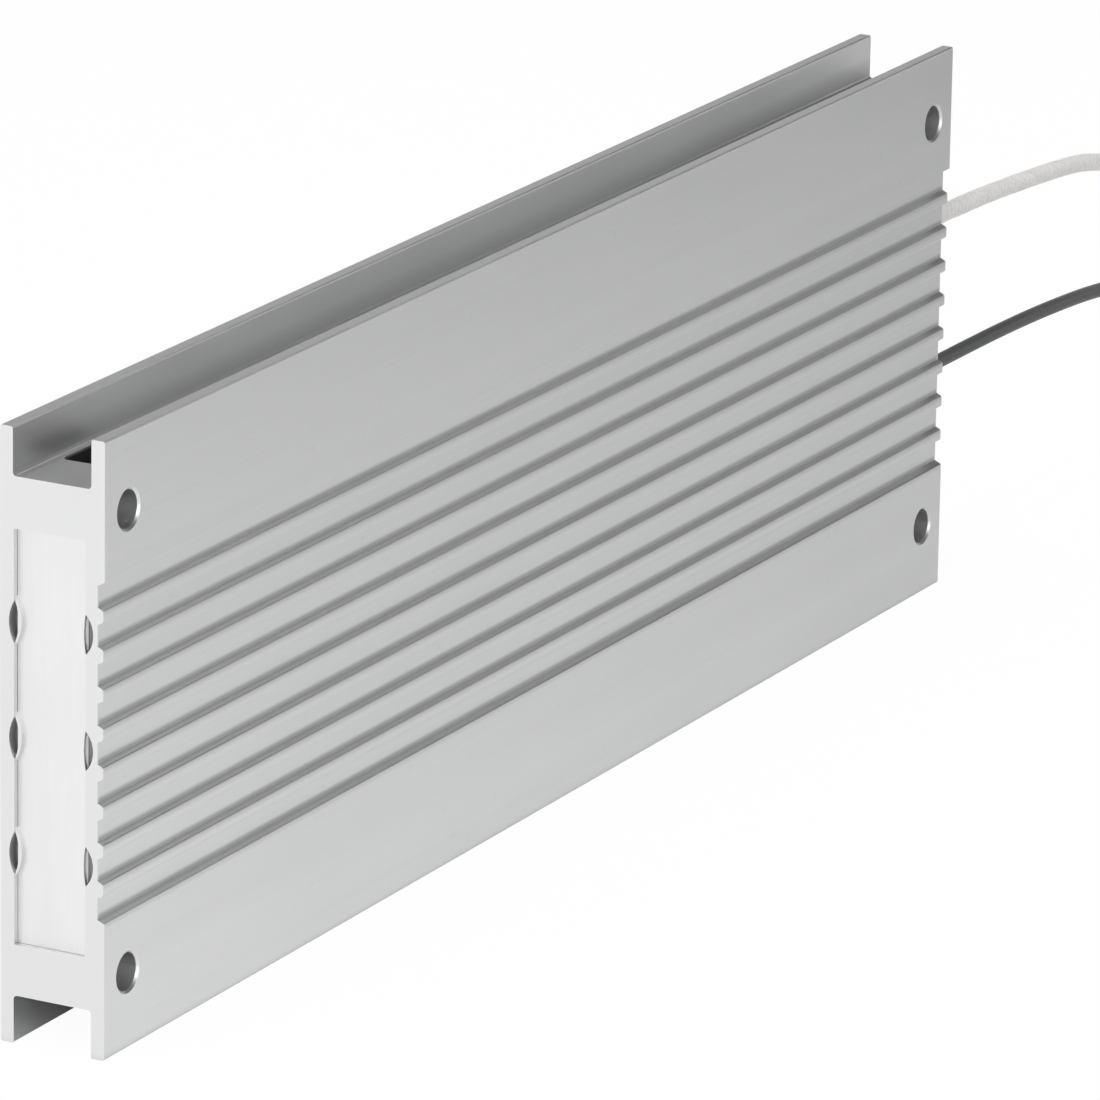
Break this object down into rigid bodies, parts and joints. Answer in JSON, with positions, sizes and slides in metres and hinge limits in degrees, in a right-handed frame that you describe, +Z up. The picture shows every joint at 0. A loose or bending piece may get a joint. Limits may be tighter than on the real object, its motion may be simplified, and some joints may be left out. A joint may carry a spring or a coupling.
{
  "type": "braking resistor",
  "caption": "Flat ribbed aluminium braking resistor with corner mounting holes, staked end plates and flying leads out of one end, for a motor drive.",
  "frame": {"origin": "bottom centre of the profile as it stands on its two long edges", "axes": "+X along the length towards the lead end, -Y towards the ribbed side, +Y towards the flat mounting side, +Z up"},
  "size_m": [0.401, 0.0234, 0.08],
  "materials": {
    "profile": "satin as extruded, bare",
    "plate": "satin rolled sheet, bare",
    "mica": "matte, faintly flaky",
    "card": "matte, faintly flaky",
    "ribbon": "drawn, slightly oxidised",
    "strap": "nickel plated, satin",
    "rivet": "satin",
    "sand": "granular, matte",
    "plug": "matte",
    "bushing": "matte",
    "sleeve": "fine woven",
    "white_insulation": "satin",
    "dark_insulation": "satin",
    "conductor": "tinned strands"
  },
  "bodies": {
    "root": {"housing": "profile", "end_plate_blind": "plate", "end_plate_leads": "plate", "end_insulator_blind": "mica", "end_insulator_leads": "mica", "mica_liner_front": "mica", "mica_liner_rear": "mica", "mica_strip_top": "mica", "mica_strip_bottom": "mica", "fill_plug": "plug", "card_upper": "card", "card_lower": "card", "winding_upper": "ribbon", "winding_lower": "ribbon", "bridge_strap": "strap", "terminal_upper": "strap", "terminal_lower": "strap", "rivets": "rivet", "sand_fill": "sand", "bushing_white": "bushing", "bushing_dark": "bushing", "sleeve_white": "sleeve", "lead_white": "white_insulation", "lead_white_coil": "white_insulation", "conductor_end_white": "conductor", "lead_dark": "dark_insulation", "lead_dark_coil": "dark_insulation", "conductor_end_dark": "conductor"}
  },
  "joints": []
}
